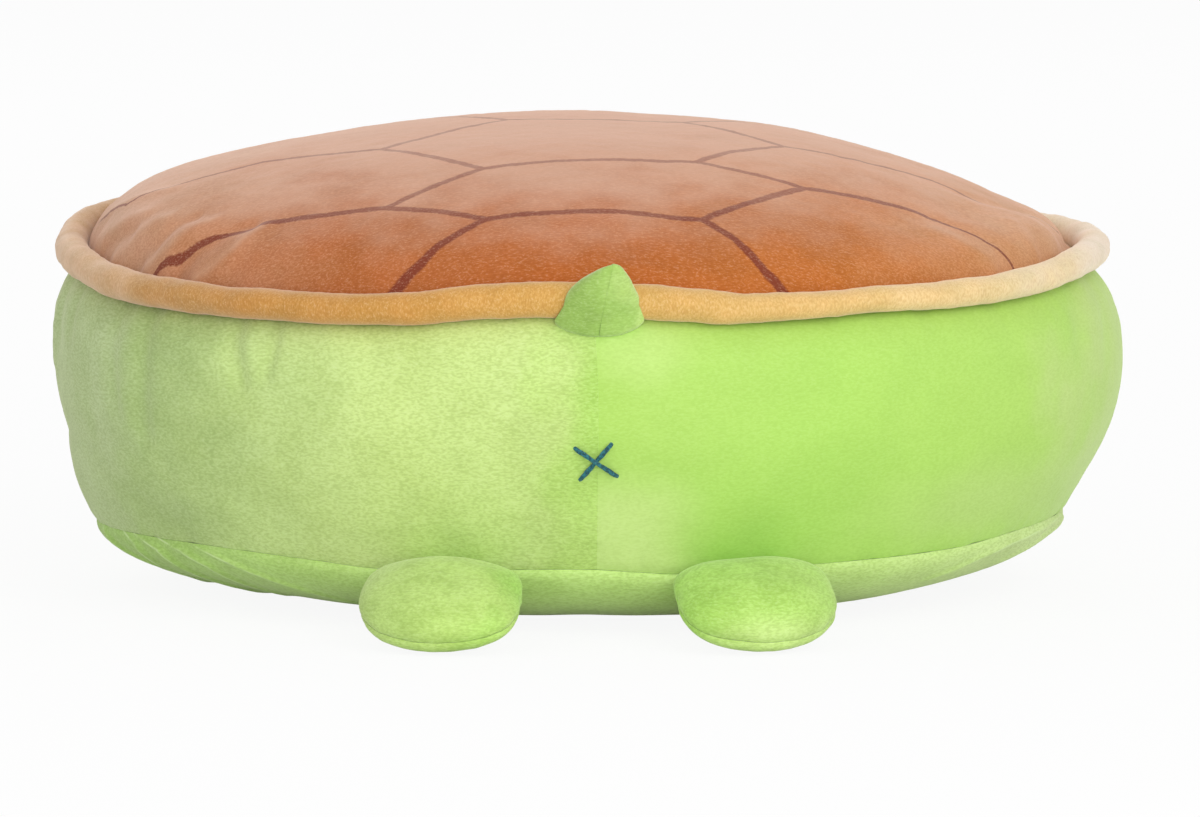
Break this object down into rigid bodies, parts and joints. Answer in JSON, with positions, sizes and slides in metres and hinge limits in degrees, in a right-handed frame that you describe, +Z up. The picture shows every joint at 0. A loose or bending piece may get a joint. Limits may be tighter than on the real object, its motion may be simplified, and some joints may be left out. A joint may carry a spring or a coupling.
{
  "type": "plush turtle",
  "caption": "Round plush turtle floor cushion: domed brown shell with a stuffed rim, green side band, base, head, tail and padded feet sewn on as soft hinges.",
  "frame": {"origin": "centre of the base panel's flat resting face", "axes": "+Z up, the face looks along -Y and the tail points along +Y, +X to the turtle's left"},
  "size_m": [0.46, 0.5668, 0.2023],
  "materials": {
    "shell_plush": "short brown plush with printed darker scute lines",
    "rim_plush": "short golden tan plush over a stuffed tube",
    "pale_green_plush": "short pale green plush, nap brushed down so its grain shows",
    "green_plush": "short fresh green plush, nap brushed up so it looks smooth",
    "fibre": "loose white polyester fibre",
    "teal_thread": "thick dark teal embroidery thread",
    "brown_thread": "dark brown satin embroidery thread"
  },
  "bodies": {
    "torso": {"shell_cover": "shell_plush", "rim_cover": "rim_plush", "rim_stuffing": "fibre", "side_band_left": "pale_green_plush", "side_band_right": "green_plush", "base_panel": "green_plush", "body_stuffing": "fibre", "head_upper_panel": "green_plush", "head_lower_panel": "green_plush", "head_stuffing": "fibre", "eye_left": "brown_thread", "eye_right": "brown_thread", "mouth": "brown_thread", "cross_stitch_under": "teal_thread", "cross_stitch_over": "teal_thread"},
    "tail": {"tail_left_panel": "green_plush", "tail_right_panel": "green_plush", "tail_stuffing": "fibre"},
    "rear_left_foot": {"rear_left_foot_top": "green_plush", "rear_left_foot_sole": "green_plush", "rear_left_foot_stuffing": "fibre"},
    "rear_right_foot": {"rear_right_foot_top": "green_plush", "rear_right_foot_sole": "green_plush", "rear_right_foot_stuffing": "fibre"},
    "front_left_foot": {"front_left_foot_top": "green_plush", "front_left_foot_sole": "green_plush", "front_left_foot_stuffing": "fibre"},
    "front_right_foot": {"front_right_foot_top": "green_plush", "front_right_foot_sole": "green_plush", "front_right_foot_stuffing": "fibre"}
  },
  "joints": [
    {"name": "rear_left_foot_lift", "type": "hinge", "parent": "torso", "child": "rear_left_foot", "pos_m": [0.06154, 0.19693, 0.029], "axis": [0.9581, -0.2865, 0], "range_deg": [0, 45], "stiffness_Nm_per_rad": 0.05},
    {"name": "rear_right_foot_lift", "type": "hinge", "parent": "torso", "child": "rear_right_foot", "pos_m": [-0.06154, 0.19693, 0.029], "axis": [0.9581, 0.2865, 0], "range_deg": [0, 45], "stiffness_Nm_per_rad": 0.05},
    {"name": "front_left_foot_lift", "type": "hinge", "parent": "torso", "child": "front_left_foot", "pos_m": [0.13531, -0.15775, 0.029], "axis": [-0.7729, -0.6345, 0], "range_deg": [0, 45], "stiffness_Nm_per_rad": 0.05},
    {"name": "front_right_foot_lift", "type": "hinge", "parent": "torso", "child": "front_right_foot", "pos_m": [-0.13531, -0.15775, 0.029], "axis": [-0.7729, 0.6345, 0], "range_deg": [0, 45], "stiffness_Nm_per_rad": 0.05},
    {"name": "tail_droop", "type": "hinge", "parent": "torso", "child": "tail", "pos_m": [0, 0.22062, 0.1275], "axis": [-1, 0, 0], "range_deg": [0, 70], "stiffness_Nm_per_rad": 0.02}
  ]
}
